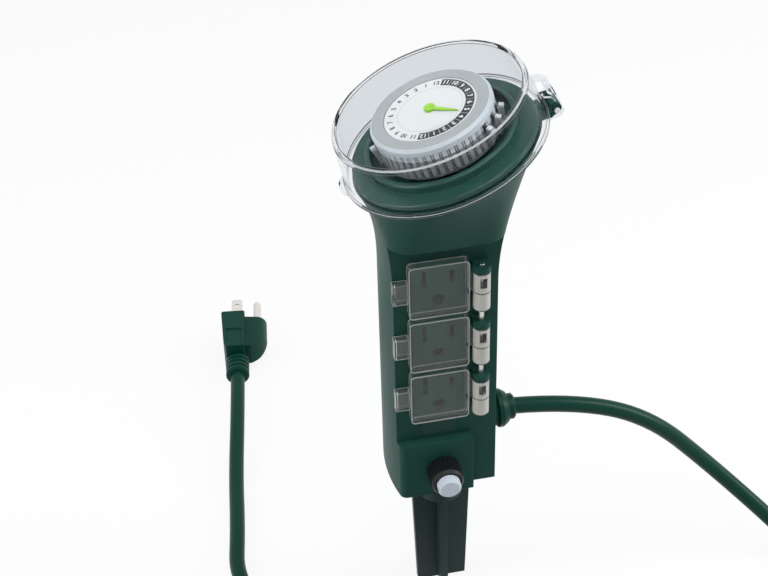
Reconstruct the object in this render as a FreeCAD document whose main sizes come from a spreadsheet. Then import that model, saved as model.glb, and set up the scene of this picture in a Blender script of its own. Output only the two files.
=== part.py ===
import FreeCAD, Part
import Sketcher
import math
import os

# Garden socket spike: a tilted dial timer under a clear dome, three lidded sockets on each side of
# a column, a reset button, a cord with a moulded plug, and a ribbed ground spike.
# Origin: the soil line on the spike's axis. +Z is up, the dial tilts towards -Y, the cord leaves
# towards +Y, and the sockets face +X and -X. Millimetres.

V = FreeCAD.Vector
doc = FreeCAD.newDocument("garden_socket_spike")
sheet = doc.addObject("Spreadsheet::Sheet", "Sizes")
rows = []
nodes = []


# Sizes

class Size(float):
    """A measure that also knows the sheet expression it comes from."""

    def __new__(cls, value, text):
        made = super().__new__(cls, value)
        made.text = text
        return made

    def __add__(self, other):
        return Size(float(self) + float(other), f"({self.text} + {wording(other)})")

    def __radd__(self, other):
        return self + other

    def __sub__(self, other):
        return Size(float(self) - float(other), f"({self.text} - {wording(other)})")

    def __rsub__(self, other):
        return Size(float(other) - float(self), f"({wording(other)} - {self.text})")

    def __mul__(self, other):
        return Size(float(self) * float(other), f"({self.text} * {wording(other)})")

    def __rmul__(self, other):
        return self * other

    def __truediv__(self, other):
        return Size(float(self) / float(other), f"({self.text} / {wording(other)})")

    def __neg__(self):
        return Size(-float(self), f"(0 - {self.text})")


def wording(value):
    if isinstance(value, Size):
        return value.text
    number = repr(round(float(value), 9))
    return f"({number})" if number.startswith("-") else number


def size(name, value):
    """One driving measure: a row of the sheet with its name as the alias."""
    rows.append(name)
    sheet.set(f"A{len(rows)}", name)
    sheet.set(f"B{len(rows)}", repr(value))
    sheet.setAlias(f"B{len(rows)}", name)
    return Size(value, f"Sizes.{name}")


wall = size("wall", 2.4)
snug = size("snug", 0.05)
running = size("running", 0.3)

# The column, from the soil line up
soil_gap = size("soil_gap", 80.0)
column_half_width = size("column_half_width", 22.85)
column_front = size("column_front", 26.9)
column_back = size("column_back", 25.3)
column_bow = size("column_bow", 80.0)
column_corner = size("column_corner", 3.5)
neck_start = size("neck_start", 120.0)
head_height = size("head_height", 183.25)
head_shift = size("head_shift", 3.39)
head_tilt = size("head_tilt", 18.83)
recess_depth = size("recess_depth", 4.85)
recess_foot = size("recess_foot", 32.47)
recess_head = size("recess_head", 147.0)
block_back = size("block_back", 11.41)

# The sockets
socket_top = size("socket_top", 126.54)
socket_pitch = size("socket_pitch", 30.91)
socket_shift = size("socket_shift", -4.37)
blade_spacing = size("blade_spacing", 12.7)
earth_drop = size("earth_drop", 11.91)
slot_width = size("slot_width", 2.2)
neutral_slot = size("neutral_slot", 9.0)
live_slot = size("live_slot", 7.2)
earth_hole = size("earth_hole", 2.9)
earth_pin_radius = size("earth_pin_radius", 2.4)
earth_sleeve_wall = size("earth_sleeve_wall", 0.7)
earth_sleeve_length = size("earth_sleeve_length", 9.0)
plate_half_width = size("plate_half_width", 8.0)
plate_foot = size("plate_foot", 30.0)
plate_head = size("plate_head", 8.0)
contact_sheet = size("contact_sheet", 0.6)
contact_reach = size("contact_reach", 11.0)
blade_thickness = size("blade_thickness", 1.5)
blade_width = size("blade_width", 6.35)

# The lids and their hinges
lid_front = size("lid_front", -18.56)
lid_rear = size("lid_rear", 8.91)
lid_top = size("lid_top", 136.77)
lid_height = size("lid_height", 28.27)
lid_depth = size("lid_depth", 4.62)
lid_wall = size("lid_wall", 1.2)
lid_corner = size("lid_corner", 2.0)
hinge_out = size("hinge_out", 4.07)
hinge_y = size("hinge_y", 14.56)
lug_top = size("lug_top", 133.38)
lug_thickness = size("lug_thickness", 3.0)
lug_radius = size("lug_radius", 4.0)
knuckle_radius = size("knuckle_radius", 3.9)
knuckle_length = size("knuckle_length", 20.1)
lid_pin_radius = size("lid_pin_radius", 1.2)
tab_reach = size("tab_reach", 7.0)
tab_height = size("tab_height", 10.5)
tab_wall = size("tab_wall", 1.0)

# The head: heights are measured along the dial's axis from the dome's rim
seat_level = size("seat_level", 0.2)
platform_level = seat_level + size("platform_thickness", 3.0)
collar_level = platform_level + size("collar_height", 4.0)
collar_wall = size("collar_wall", 2.4)
dome_radius = size("dome_radius", 46.3)
dome_draft = size("dome_draft", 2.45)
dome_depth = size("dome_depth", 23.86)
dome_wall = size("dome_wall", 1.6)
dome_edge = size("dome_edge", 1.8)
dome_top_radius = dome_radius - dome_draft
neck_top_radius = dome_radius - dome_wall - size("neck_room", 1.7)
platform_radius = neck_top_radius - size("platform_step", 0.8)
collar_radius = platform_radius - size("collar_step", 7.7)
dome_pin_out = dome_radius + size("dome_pin_gap", 3.3)
dome_pin_level = size("dome_pin_level", -0.9)
dome_pin_radius = size("dome_pin_radius", 1.25)
dome_lug_half_width = size("dome_lug_half_width", 5.8)
dome_cheek = size("dome_cheek", 1.8)
dome_tab_reach = size("dome_tab_reach", 2.8)
dome_tab_radius = size("dome_tab_radius", 10.0)
drum_radius = size("drum_radius", 27.5)
drum_level = dome_depth - dome_wall - size("drum_room", 1.96)
drum_foot = platform_level + size("drum_lift", 1.4)
drum_band_top = drum_level - size("drum_band", 3.7)
label_radius = size("label_radius", 20.7)
label_sink = size("label_sink", 0.3)
label_thickness = size("label_thickness", 0.5)
tripper_reach = size("tripper_reach", 2.4)
tripper_count = 48
spindle_radius = size("spindle_radius", 1.8)
pointer_hub = size("pointer_hub", 2.5)
pointer_reach = size("pointer_reach", 14.2)
pointer_turn = size("pointer_turn", 43.0)
pointer_thickness = size("pointer_thickness", 1.0)
movement_radius = size("movement_radius", 22.0)
movement_depth = size("movement_depth", 15.0)
switch_length = size("switch_length", 20.0)
switch_width = size("switch_width", 10.0)
switch_depth = size("switch_depth", 12.0)

# The reset button on the block
breaker_y = size("breaker_y", -3.7)
breaker_z = size("breaker_z", 15.8)
breaker_side = size("breaker_side", 14.0)
breaker_depth = size("breaker_depth", 19.0)
breaker_neck = size("breaker_neck", 4.9)
nut_radius = size("nut_radius", 8.0)
nut_length = size("nut_length", 11.0)
cap_radius = size("cap_radius", 5.6)
cap_front = size("cap_front", 15.2)
cap_travel = size("cap_travel", 2.0)
plunger_radius = size("plunger_radius", 1.8)

# The cord, its strain relief and its plug
cord_radius = size("cord_radius", 4.1)
gland_z = size("gland_z", 28.0)
gland_stem = size("gland_stem", 5.2)
gland_boss_radius = size("gland_boss_radius", 8.4)
gland_boss_end = size("gland_boss_end", 27.5)
gland_flange_radius = size("gland_flange_radius", 9.5)
gland_flange = size("gland_flange", 5.8)
gland_ring_radius = size("gland_ring_radius", 6.4)
gland_end = size("gland_end", 37.0)
plug_length = size("plug_length", 33.0)
plug_back = size("plug_back", 9.2)
plug_waist = size("plug_waist", 4.9)
plug_half_height = size("plug_half_height", 12.0)
plug_earth_round = size("plug_earth_round", 6.5)
plug_relief = size("plug_relief", 14.0)
plug_rib_radius = size("plug_rib_radius", 6.8)
blade_length = size("blade_length", 17.0)
blade_hole = size("blade_hole", 1.6)
earth_pin_length = size("earth_pin_length", 21.5)
coil_inner = size("coil_inner", 34.9)
coil_layer = size("coil_layer", 8.8)
coil_pitch = size("coil_pitch", 8.75)
coil_turns = 2

# The spike
spike_neck = size("spike_neck", 8.0)
spike_boss_radius = size("spike_boss_radius", 11.0)
spike_boss_length = size("spike_boss_length", 18.7)
spike_wing = size("spike_wing", 15.0)
spike_rib = size("spike_rib", 10.0)
spike_blade = size("spike_blade", 3.8)
spike_point = size("spike_point", 140.0)
spike_shoulder = size("spike_shoulder", 45.0)
spike_taper = size("spike_taper", 1.9)

# The screws that close the housing
screw_radius = size("screw_radius", 1.5)
screw_head = size("screw_head", 2.9)
screw_head_depth = size("screw_head_depth", 1.8)
boss_radius = size("boss_radius", 3.2)
screw_back = size("screw_back", 15.6)
screw_front = size("screw_front", 19.6)
screw_low = size("screw_low", 10.0)
screw_middle = size("screw_middle", 68.0)
screw_top = size("screw_top", 110.0)
screw_front_low = size("screw_front_low", 42.0)
screw_front_top = size("screw_front_top", 104.0)

recess_plane = column_half_width - recess_depth
hinge_x = recess_plane + hinge_out
lid_inner = recess_plane + running
lid_outer = recess_plane + lid_depth


# Making shapes

def bind(item, **values):
    for name, value in values.items():
        setattr(item, name, float(value))
        if isinstance(value, Size):
            item.setExpression(name, value.text)


def place(item, x, y, z, rotation=None):
    item.Placement = FreeCAD.Placement(V(float(x), float(y), float(z)), rotation or FreeCAD.Rotation())
    for letter, value in (("x", x), ("y", y), ("z", z)):
        if isinstance(value, Size):
            item.setExpression(f".Placement.Base.{letter}", value.text)


def box(name, x, y, z):
    """A box between pairs of planes."""
    made = doc.addObject("Part::Box", name)
    bind(made, Length=x[1] - x[0], Width=y[1] - y[0], Height=z[1] - z[0])
    place(made, x[0], y[0], z[0])
    return made


TURNS = {
    "X": FreeCAD.Rotation(V(0, 1, 0), 90),
    "Y": FreeCAD.Rotation(V(1, 0, 0), -90),
    "Z": FreeCAD.Rotation(),
    "-X": FreeCAD.Rotation(V(0, 1, 0), -90),
}


def rod(name, radius, length, start, axis="Z"):
    """A cylinder from start along an axis."""
    made = doc.addObject("Part::Cylinder", name)
    bind(made, Radius=radius, Height=length)
    place(made, *start, rotation=TURNS[axis])
    return made


def cone(name, low, high, length, start, axis="Z"):
    made = doc.addObject("Part::Cone", name)
    bind(made, Radius1=low, Radius2=high, Height=length)
    place(made, *start, rotation=TURNS[axis])
    return made


def fuse(name, parts):
    made = doc.addObject("Part::MultiFuse", name)
    made.Shapes = parts
    return made


def cut(name, base, tools):
    tool = tools[0] if len(tools) == 1 else fuse(name + "_tools", tools)
    made = doc.addObject("Part::Cut", name)
    made.Base = base
    made.Tool = tool
    return made


def common(name, base, tool):
    made = doc.addObject("Part::Common", name)
    made.Base = base
    made.Tool = tool
    return made


def node(item, label):
    """Marks a finished sub-part, whose label names its file."""
    item.Label = label
    nodes.append(item)
    return item


def solid(label, shape, placement=None):
    """A sub-part whose shape is worked out here from the sheet's values."""
    made = doc.addObject("Part::Feature", label)
    made.Shape = shape
    if placement:
        made.Placement = placement
    return made


def new_body(label):
    made = doc.addObject("PartDesign::Body", label)
    made.Label = label
    return made


def plane_of(body, role):
    return [p for p in body.Origin.OriginFeatures if p.Role == role][0]


def sketch_on(body, name, role, offset=0.0):
    made = body.newObject("Sketcher::SketchObject", name)
    made.AttachmentSupport = [(plane_of(body, role), "")]
    made.MapMode = "FlatFace"
    made.AttachmentOffset = FreeCAD.Placement(V(0, 0, float(offset)), FreeCAD.Rotation())
    if isinstance(offset, Size):
        made.setExpression(".AttachmentOffset.Base.z", offset.text)
    return made


def pin_point(sketch, edge, end, x, y):
    """Fixes an end of an edge at its place."""
    for kind, axis, value in (("DistanceX", -2, x), ("DistanceY", -1, y)):
        if abs(float(value)) < 1e-9:
            sketch.addConstraint(Sketcher.Constraint("PointOnObject", edge, end, axis))
            continue
        made = sketch.addConstraint(Sketcher.Constraint(kind, -1, 1, edge, end, float(value)))
        if isinstance(value, Size):
            sketch.setExpression(f"Constraints[{made}]", value.text)


def outline(sketch, points, arcs=None):
    """A closed outline of lines. arcs gives the radius of the edge that leaves a point: positive
    where it turns left about its centre, negative where it turns right."""
    arcs = arcs or {}
    count = len(points)
    first = sketch.GeometryCount
    for i in range(count):
        a = V(float(points[i][0]), float(points[i][1]), 0)
        b = V(float(points[(i + 1) % count][0]), float(points[(i + 1) % count][1]), 0)
        if i not in arcs:
            sketch.addGeometry(Part.LineSegment(a, b))
            continue
        radius = float(arcs[i])
        chord = b - a
        half = chord.Length / 2
        side = V(-chord.y, chord.x, 0).normalize() * math.copysign(1, radius)
        centre = (a + b) / 2 + side * math.sqrt(max(radius * radius - half * half, 0))
        middle = centre - side * abs(radius)
        sketch.addGeometry(Part.Arc(a, middle, b))
    for i in range(count):
        edge = first + i
        following = first + (i + 1) % count
        start, end = ends_of(sketch, edge, points[i])
        other, _ = ends_of(sketch, following, points[(i + 1) % count])
        sketch.addConstraint(Sketcher.Constraint("Coincident", edge, end, following, other))
        pin_point(sketch, edge, start, *points[i][:2])
        if i in arcs:
            made = sketch.addConstraint(Sketcher.Constraint("Radius", edge, abs(float(arcs[i]))))
            if isinstance(arcs[i], Size):
                reach = arcs[i] if float(arcs[i]) > 0 else -arcs[i]
                sketch.setExpression(f"Constraints[{made}]", reach.text)
    return sketch


def ends_of(sketch, edge, start):
    """Which end of an edge is its start, since an arc always runs anticlockwise."""
    begin = sketch.getPoint(edge, 1)
    near = (begin - V(float(start[0]), float(start[1]), 0)).Length < 1e-5
    return (1, 2) if near else (2, 1)


def ring(sketch, x, y, radius):
    """A circle in a sketch."""
    edge = sketch.addGeometry(Part.Circle(V(float(x), float(y), 0), V(0, 0, 1), float(radius)))
    pin_point(sketch, edge, 3, x, y)
    made = sketch.addConstraint(Sketcher.Constraint("Radius", edge, float(radius)))
    if isinstance(radius, Size):
        sketch.setExpression(f"Constraints[{made}]", radius.text)
    return sketch


def raised(body, kind, name, sketch, length, back=False, both=False):
    made = body.newObject("PartDesign::" + kind, name)
    made.Profile = sketch
    bind(made, Length=length)
    made.Reversed = back
    made.Midplane = both
    return made


def pad(body, name, sketch, length, back=False, both=False):
    return raised(body, "Pad", name, sketch, length, back, both)


def pocket(body, name, sketch, length, back=False, both=False):
    return raised(body, "Pocket", name, sketch, length, back, both)


def turned(body, name, sketch, kind="Revolution"):
    """A full turn about the sketch's upright axis."""
    made = body.newObject("PartDesign::" + kind, name)
    made.Profile = sketch
    made.ReferenceAxis = (sketch, ["V_Axis"])
    made.Angle = 360.0
    return made


def polar(body, name, feature, count):
    made = body.newObject("PartDesign::PolarPattern", name)
    made.Originals = [feature]
    made.Axis = ([a for a in body.Origin.OriginFeatures if a.Role == "Z_Axis"][0], [""])
    made.Angle = 360.0
    made.Occurrences = count
    body.Tip = made
    return made


def head_placement(item):
    """Puts a piece drawn about the dial's axis into its tilted place."""
    place(item, 0.0, head_shift, soil_gap + head_height, FreeCAD.Rotation(V(1, 0, 0), float(head_tilt)))
    item.setExpression(".Placement.Rotation.Angle", head_tilt.text)


# Housing

def blend_radius(low, high, share):
    """A radius whose curvature goes evenly from one value to the other."""
    return 1 / (1 / low + (1 / high - 1 / low) * share)


def corner_angles(a, b, bow_reach, side_reach, bow, side):
    """Where the corner arc leaves the bowed front and the side, as angles at their centres."""
    fx, fy = 0.0, b - bow
    sx, sy = a - side, 0.0
    gap = math.hypot(sx - fx, sy - fy)
    along = (bow_reach ** 2 - side_reach ** 2 + gap ** 2) / (2 * gap)
    across = math.sqrt(max(bow_reach ** 2 - along ** 2, 0.0))
    ux, uy = (sx - fx) / gap, (sy - fy) / gap
    spots = [(fx + ux * along - uy * across * w, fy + uy * along + ux * across * w) for w in (1, -1)]
    x, y = max(spots)
    return math.atan2(x - fx, y - fy), math.atan2(y - sy, x - sx)


def section(share, shrink):
    """The neck's outline at a share of its height: the bowed column at 0, a tilted circle at 1.
    Each quarter is a front or back arc, a corner arc and half a side arc, all tangent."""
    ease = share ** 2.1
    middle = (column_back - column_front) / 2
    half_depth = float(column_front + column_back) / 2
    top = float(neck_top_radius)
    a = float(column_half_width) + (top - column_half_width) * ease - shrink
    b = half_depth + (top - half_depth) * ease - shrink
    bow = blend_radius(float(column_bow), top, ease) - shrink
    side = blend_radius(2000.0, top, ease) - shrink
    corner = float(column_corner) + max(0.0, (top - column_corner) * ease - shrink)
    alpha, beta = math.radians(18.0), math.radians(10.0)
    if share < 1.0:
        alpha, beta = corner_angles(a, b, bow - corner, side - corner, bow, side)
    front_end = V(bow * math.sin(alpha), b - bow + bow * math.cos(alpha), 0)
    side_end = V(a - side + side * math.cos(beta), side * math.sin(beta), 0)
    centre = V((bow - corner) * math.sin(alpha), b - bow + (bow - corner) * math.cos(alpha), 0)
    half_way = (alpha + math.pi / 2 - beta) / 2
    corner_middle = centre + V(math.sin(half_way), math.cos(half_way), 0) * corner

    def flip(point, x, y):
        return V(point.x * x, point.y * y, 0)

    edges = []
    for x, y in ((1, 1), (1, -1), (-1, -1), (-1, 1)):
        pair = [flip(front_end, x, y), flip(corner_middle, x, y), flip(side_end, x, y)]
        if x * y < 0:
            pair.reverse()
        edges.append(Part.Arc(*pair).toShape())
        if x == 1 and y == 1:
            edges.append(Part.Arc(side_end, V(float(a), 0, 0), flip(side_end, 1, -1)).toShape())
        if x == 1 and y == -1:
            edges.append(Part.Arc(flip(front_end, 1, -1), V(0, -float(b), 0), flip(front_end, -1, -1)).toShape())
        if x == -1 and y == -1:
            edges.append(Part.Arc(flip(side_end, -1, -1), V(-float(a), 0, 0), flip(side_end, -1, 1)).toShape())
        if x == -1 and y == 1:
            edges.append(Part.Arc(flip(front_end, -1, 1), V(0, float(b), 0), front_end).toShape())
    edges.reverse()
    tilt = float(head_tilt)
    lean = math.radians(tilt)
    top_y = head_shift - seat_level * math.sin(lean)
    top_z = head_height + seat_level * math.cos(lean)
    y = float(middle) * (1 - share) + float(top_y) * share - 4.5 * share * (1 - share)
    z = float(soil_gap + neck_start) + float(top_z - neck_start) * share
    turn = FreeCAD.Rotation(V(1, 0, 0), tilt * ease)
    wire = Part.Wire(edges)
    wire.Placement = FreeCAD.Placement(V(0, y, z), turn)
    return wire


def column_solid(shrink, low):
    """The straight column, and the neck that flares from it into the round head."""
    foot = section(0.0, shrink)
    foot.translate(V(0, 0, low - float(soil_gap + neck_start)))
    straight = Part.Face(foot).extrude(V(0, 0, float(soil_gap + neck_start) - low))
    neck = Part.makeLoft([section(share, shrink) for share in (0.0, 0.28, 0.52, 0.77, 1.0)], True, False)
    return straight.fuse(neck).removeSplitter()


def dome_lug():
    """The lug behind the head that carries the dome's hinge pin."""
    body = new_body("dome_lug")
    lug = sketch_on(body, "dome_lug_profile", "YZ_Plane")
    root = neck_top_radius - 3.8
    eye = dome_pin_radius * 2
    outline(lug, [
        (root, dome_pin_level + 0.4), (dome_pin_out - eye, dome_pin_level + 0.4), (dome_pin_out - 0.5, dome_pin_level + 1.0),
        (dome_pin_out, dome_pin_level - eye), (dome_pin_out - 3.0, dome_pin_level - eye - 1.0),
        (root, dome_pin_level - eye - 0.4)])
    pad(body, "dome_lug_arm", lug, dome_lug_half_width * 2, both=True)
    barrel = sketch_on(body, "dome_lug_round", "YZ_Plane")
    ring(barrel, dome_pin_out, dome_pin_level, eye)
    pad(body, "dome_lug_barrel", barrel, dome_lug_half_width * 2, both=True)
    head_placement(body)
    bore = new_body("dome_lug_hole")
    hole = sketch_on(bore, "dome_lug_hole_round", "YZ_Plane")
    ring(hole, dome_pin_out, dome_pin_level, dome_pin_radius + snug / 2)
    pad(bore, "dome_lug_bore", hole, dome_lug_half_width * 4, both=True)
    head_placement(bore)
    return body, bore


def housing():
    """Two half shells that meet on the plane X = 0, with everything moulded into them."""
    foot = soil_gap
    shell = solid("housing_block", column_solid(0.0, float(foot)))
    hollow = solid("housing_hollow", column_solid(float(wall), float(foot + wall)))
    reach = V(0, 0, 1)
    lean = math.radians(float(head_tilt))
    reach = V(0, -math.sin(lean), math.cos(lean))
    mouth_wire = section(1.0, float(wall))
    mouth = solid("neck_mouth", Part.Face(mouth_wire).extrude(reach * 4.0))

    far = 60.0
    outside = []
    lining = []
    for side in (1, -1):
        mark = "right" if side > 0 else "left"

        def span(low, high):
            return (low, high) if side > 0 else (-high, -low)

        outside.append(box(f"recess_{mark}", span(recess_plane, Size(far, "60")), (-far, far),
                           (foot + recess_foot, foot + recess_head)))
        outside.append(box(f"rear_step_{mark}", span(recess_plane, Size(far, "60")), span(block_back, Size(far, "60")),
                           (foot - 1.0, foot + recess_foot + 1.0)))
        lining.append(box(f"recess_back_{mark}", span(recess_plane - wall, Size(far, "60")), (-far, far),
                          (foot + recess_foot - wall, foot + recess_head + wall)))
        lining.append(box(f"rear_back_{mark}", span(recess_plane - wall, Size(far, "60")),
                          span(block_back - wall, Size(far, "60")), (foot, foot + recess_foot + 1.0)))
    outer = cut("housing_outer", shell, outside)
    inner = cut("housing_inner", hollow, lining)

    add = []
    for side in (1, -1):
        mark = "right" if side > 0 else "left"
        for i in range(3):
            top = foot + lug_top - socket_pitch * i
            add.append(rod(f"lug_{mark}_{i}", lug_radius, lug_thickness,
                           (hinge_x * side, hinge_y * side, top - lug_thickness)))
            low, high = (recess_plane - 0.5, hinge_x) if side > 0 else (-hinge_x, -recess_plane + 0.5)
            add.append(box(f"lug_foot_{mark}_{i}", (low, high), (hinge_y * side - lug_radius, hinge_y * side + lug_radius),
                           (top - lug_thickness, top)))
    add.append(rod("gland_boss", gland_boss_radius, gland_boss_end - 18.0, (0.0, 18.0, foot + gland_z), "Y"))
    lug, lug_bore = dome_lug()
    whole = fuse("housing_with_lugs", [outer, lug] + add)

    holes = []
    for side in (1, -1):
        mark = "right" if side > 0 else "left"
        low, high = (recess_plane - wall - 1.0, recess_plane + 1.0)
        if side < 0:
            low, high = -high, -low
        for i in range(3):
            z = foot + socket_top - socket_pitch * i
            for way, tall in ((-1, neutral_slot), (1, live_slot)):
                y = (socket_shift + blade_spacing / 2 * way) * side
                holes.append(box(f"slot_{mark}_{i}_{way + 1}", (low, high), (y - slot_width / 2, y + slot_width / 2),
                                 (z - tall / 2, z + tall / 2)))
            earth = z - earth_drop
            middle = socket_shift * side
            holes.append(rod(f"earth_{mark}_{i}", earth_hole, high - low, (low, middle, earth), "X"))
            holes.append(box(f"earth_flat_{mark}_{i}", (low, high), (middle - earth_hole, middle + earth_hole),
                             (earth, earth + earth_hole * 0.75)))
        holes.append(rod(f"pin_bore_{mark}", lid_pin_radius + snug / 2, socket_pitch * 3,
                         (hinge_x * side, hinge_y * side, foot + lug_top - socket_pitch * 2.5)))
    holes.append(rod("breaker_bore", breaker_neck + snug, Size(12.0, "12"),
                     (column_half_width - 8.0, breaker_y, foot + breaker_z), "X"))
    holes.append(rod("gland_bore", gland_stem + snug, Size(20.0, "20"), (0.0, 12.0, foot + gland_z), "Y"))
    holes.append(rod("spike_bore", spike_neck + snug, wall * 3, (0.0, 0.0, foot - wall)))

    posts = []
    pilots = []
    heads = []
    for number, (y, z, seat) in enumerate(screw_places()):
        posts.append(rod(f"screw_post_{number}", boss_radius, seat + recess_plane - wall, (-seat + wall / 2, y, z), "X"))
        pilots.append(rod(f"screw_pilot_{number}", screw_radius + snug, seat + wall * 3, (-seat - 1.0, y, z), "X"))
        heads.append(rod(f"screw_sink_{number}", screw_head + snug * 2, screw_head_depth + 1.0, (-seat - 1.0, y, z), "X"))
    hollowed = cut("housing_hollowed", whole, [inner, mouth])
    posted = fuse("housing_posted", [hollowed] + posts)
    bored = cut("housing_bored", posted, holes + pilots + heads + [lug_bore])
    plates = []
    for side in (1, -1):
        mark = "right" if side > 0 else "left"
        middle = socket_shift * side
        low, high = (recess_plane - wall, recess_plane) if side > 0 else (-recess_plane, -recess_plane + wall)
        window = box(f"socket_window_{mark}", (low, high), (middle - plate_half_width, middle + plate_half_width),
                     (foot + socket_top - socket_pitch * 2 - plate_foot, foot + socket_top + plate_head))
        plates.append(window)
        node(common(f"socket_plate_{mark}_shape", bored, window), f"socket_plate_{mark}")
    bored = cut("housing_windowed", bored, plates)
    rise = (soil_gap - 5.0, soil_gap + head_height + 60.0)
    half = box("right_half", (0.0, Size(far, "60")), (-far, far), rise)
    other = box("left_half", (-far, Size(0.0, "0")), (-far, far), rise)
    node(common("housing_right_shape", bored, half), "housing_right")
    node(common("housing_left_shape", bored, other), "housing_left")

    screws = []
    for number, (y, z, seat) in enumerate(screw_places()):
        shank = rod(f"screw_shank_{number}", screw_radius, seat + wall, (-seat + screw_head_depth - 0.2, y, z), "X")
        head = rod(f"screw_head_{number}", screw_head, screw_head_depth - 0.2, (-seat, y, z), "X")
        slot = box(f"screw_slot_{number}", (-seat - 1.0, -seat + 0.8), (y - 0.4, y + 0.4), (z - screw_head, z + screw_head))
        screws.append(cut(f"screw_{number}", fuse(f"screw_blank_{number}", [shank, head]), [slot]))
    gather(screws, "housing_screws")


def screw_places():
    """Each screw's place, and how far out on the left its head sits."""
    foot = soil_gap
    back, front = screw_back, -screw_front
    return [(back, foot + screw_low, column_half_width), (back, foot + screw_middle, recess_plane),
            (back, foot + screw_top, recess_plane),
            (front, foot + screw_front_low, recess_plane), (front, foot + screw_front_top, recess_plane)]


def gather(items, label):
    """Several separate solids that share one node."""
    made = doc.addObject("Part::Compound", label + "_group")
    made.Links = items
    return node(made, label)


# Contacts behind the socket faces

def contacts(side):
    mark = "right" if side > 0 else "left"
    face = recess_plane - wall - running / 2
    bottom = soil_gap + socket_top - socket_pitch * 2
    top = soil_gap + socket_top

    def span(low, high):
        return (low, high) if side > 0 else (-high, -low)

    bore = earth_pin_radius + snug
    outer = bore + earth_sleeve_wall
    back = face - earth_sleeve_length
    middle = socket_shift * side
    strip = [box(f"earth_plate_{mark}", span(back - contact_sheet, back), (middle - outer, middle + outer),
                 (bottom - earth_drop - outer, top - earth_drop + outer))]
    bores = []
    for i in range(3):
        z = top - socket_pitch * i - earth_drop
        start = span(back - contact_sheet, face)[0]
        strip.append(rod(f"earth_sleeve_{mark}_{i}", outer, face - back + contact_sheet, (start, middle, z), "X"))
        bores.append(rod(f"earth_bore_{mark}_{i}", bore, face - back + contact_sheet + 2.0, (start - 1.0, middle, z), "X"))
    node(cut(f"earth_contact_{mark}_shape", fuse(f"earth_strip_{mark}", strip), bores), f"earth_contact_{mark}")

    for name, way in (("neutral", -1), ("live", 1)):
        y = (socket_shift + blade_spacing / 2 * way) * side
        half = blade_width / 2 + 0.5
        leaf = blade_thickness / 2
        depth = span(face - contact_reach, face)
        away = way * side
        pieces = [box(f"{name}_strip_{mark}", depth, beside(y + leaf * away, contact_sheet, away),
                      (bottom - half - 1.0, top + half + 1.0))]
        for i in range(3):
            z = top - socket_pitch * i
            pieces.append(box(f"{name}_leaf_{mark}_{i}", depth, beside(y - leaf * away, contact_sheet, -away),
                              (z - half - 1.0, z + half + 1.0)))
            for end in (-1, 1):
                low = z + half if end > 0 else z - half - 1.0
                pieces.append(box(f"{name}_bridge_{mark}_{i}_{end + 1}", span(face - 4.0, face),
                                  (y - leaf - contact_sheet / 2, y + leaf + contact_sheet / 2), (low, low + 1.0)))
        node(fuse(f"{name}_contact_{mark}_shape", pieces), f"{name}_contact_{mark}")


def beside(start, thickness, way):
    return (start, start + thickness) if way > 0 else (start - thickness, start)


# Clear lids over the sockets

def lid(number, side):
    """A shallow tray with a pull tab and a pierced hinge knuckle."""
    mark = "right" if side > 0 else "left"
    tag = f"{mark}_{number}"
    top = soil_gap + lid_top - socket_pitch * number
    bottom = top - lid_height

    def span(low, high):
        return (low, high) if side > 0 else (-high, -low)

    body = new_body(f"lid_tray_{tag}")
    face = sketch_on(body, f"lid_outline_{tag}", "YZ_Plane", span(lid_inner, lid_outer)[0])
    rounded_outline(face, *span(lid_front, lid_rear), bottom, top, lid_corner)
    pad(body, f"lid_block_{tag}", face, lid_outer - lid_inner)
    inside = sketch_on(body, f"lid_hollow_outline_{tag}", "YZ_Plane",
                       span(lid_inner, lid_outer - lid_wall)[0])
    rounded_outline(inside, *span(lid_front + lid_wall, lid_rear - lid_wall), bottom + lid_wall, top - lid_wall,
                    lid_corner - lid_wall)
    pocket(body, f"lid_hollow_{tag}", inside, lid_outer - lid_wall - lid_inner, back=True)

    knuckle_top = soil_gap + lug_top - socket_pitch * number - lug_thickness - running
    knuckle_foot = knuckle_top - knuckle_length
    axis_x, axis_y = hinge_x * side, hinge_y * side
    knuckle = rod(f"knuckle_{tag}", knuckle_radius, knuckle_length, (axis_x, axis_y, knuckle_foot))
    web_inner = lid_outer - lid_wall * 1.6
    web = box(f"lid_web_{tag}", span(web_inner, lid_outer), span(lid_rear - lid_wall, hinge_y),
              (knuckle_foot + knuckle_length * 0.42, knuckle_top))
    notch = rod(f"web_notch_{tag}", Size(1.5, "1.5"), Size(8.0, "8"),
                (span(web_inner - 2.0, lid_outer)[0], (lid_rear + 0.9) * side, knuckle_foot + knuckle_length * 0.42), "X")
    bore = rod(f"knuckle_bore_{tag}", lid_pin_radius + snug, knuckle_length + 2.0, (axis_x, axis_y, knuckle_foot - 1.0))
    window = box(f"knuckle_window_{tag}", span(hinge_x, hinge_x + knuckle_radius + 1.0),
                 (axis_y - 1.3, axis_y + 1.3), (knuckle_top - 7.0, knuckle_top - 2.0))
    middle = (top + bottom) / 2
    tab = box(f"tab_block_{tag}", span(lid_inner, lid_inner + 4.0), span(lid_front - tab_reach, lid_front + lid_wall / 2),
              (middle - tab_height / 2, middle + tab_height / 2))
    tab_gap = box(f"tab_gap_{tag}", span(lid_inner + tab_wall, lid_inner + 4.0 - tab_wall),
                  span(lid_front - tab_reach + tab_wall, lid_front - tab_wall / 2),
                  (middle - tab_height, middle + tab_height))
    blank = fuse(f"lid_blank_{tag}", [body, knuckle, web, tab])
    node(cut(f"lid_shape_{tag}", blank, [bore, window, notch, tab_gap]), f"lid_{mark}_{number + 1}")


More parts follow.
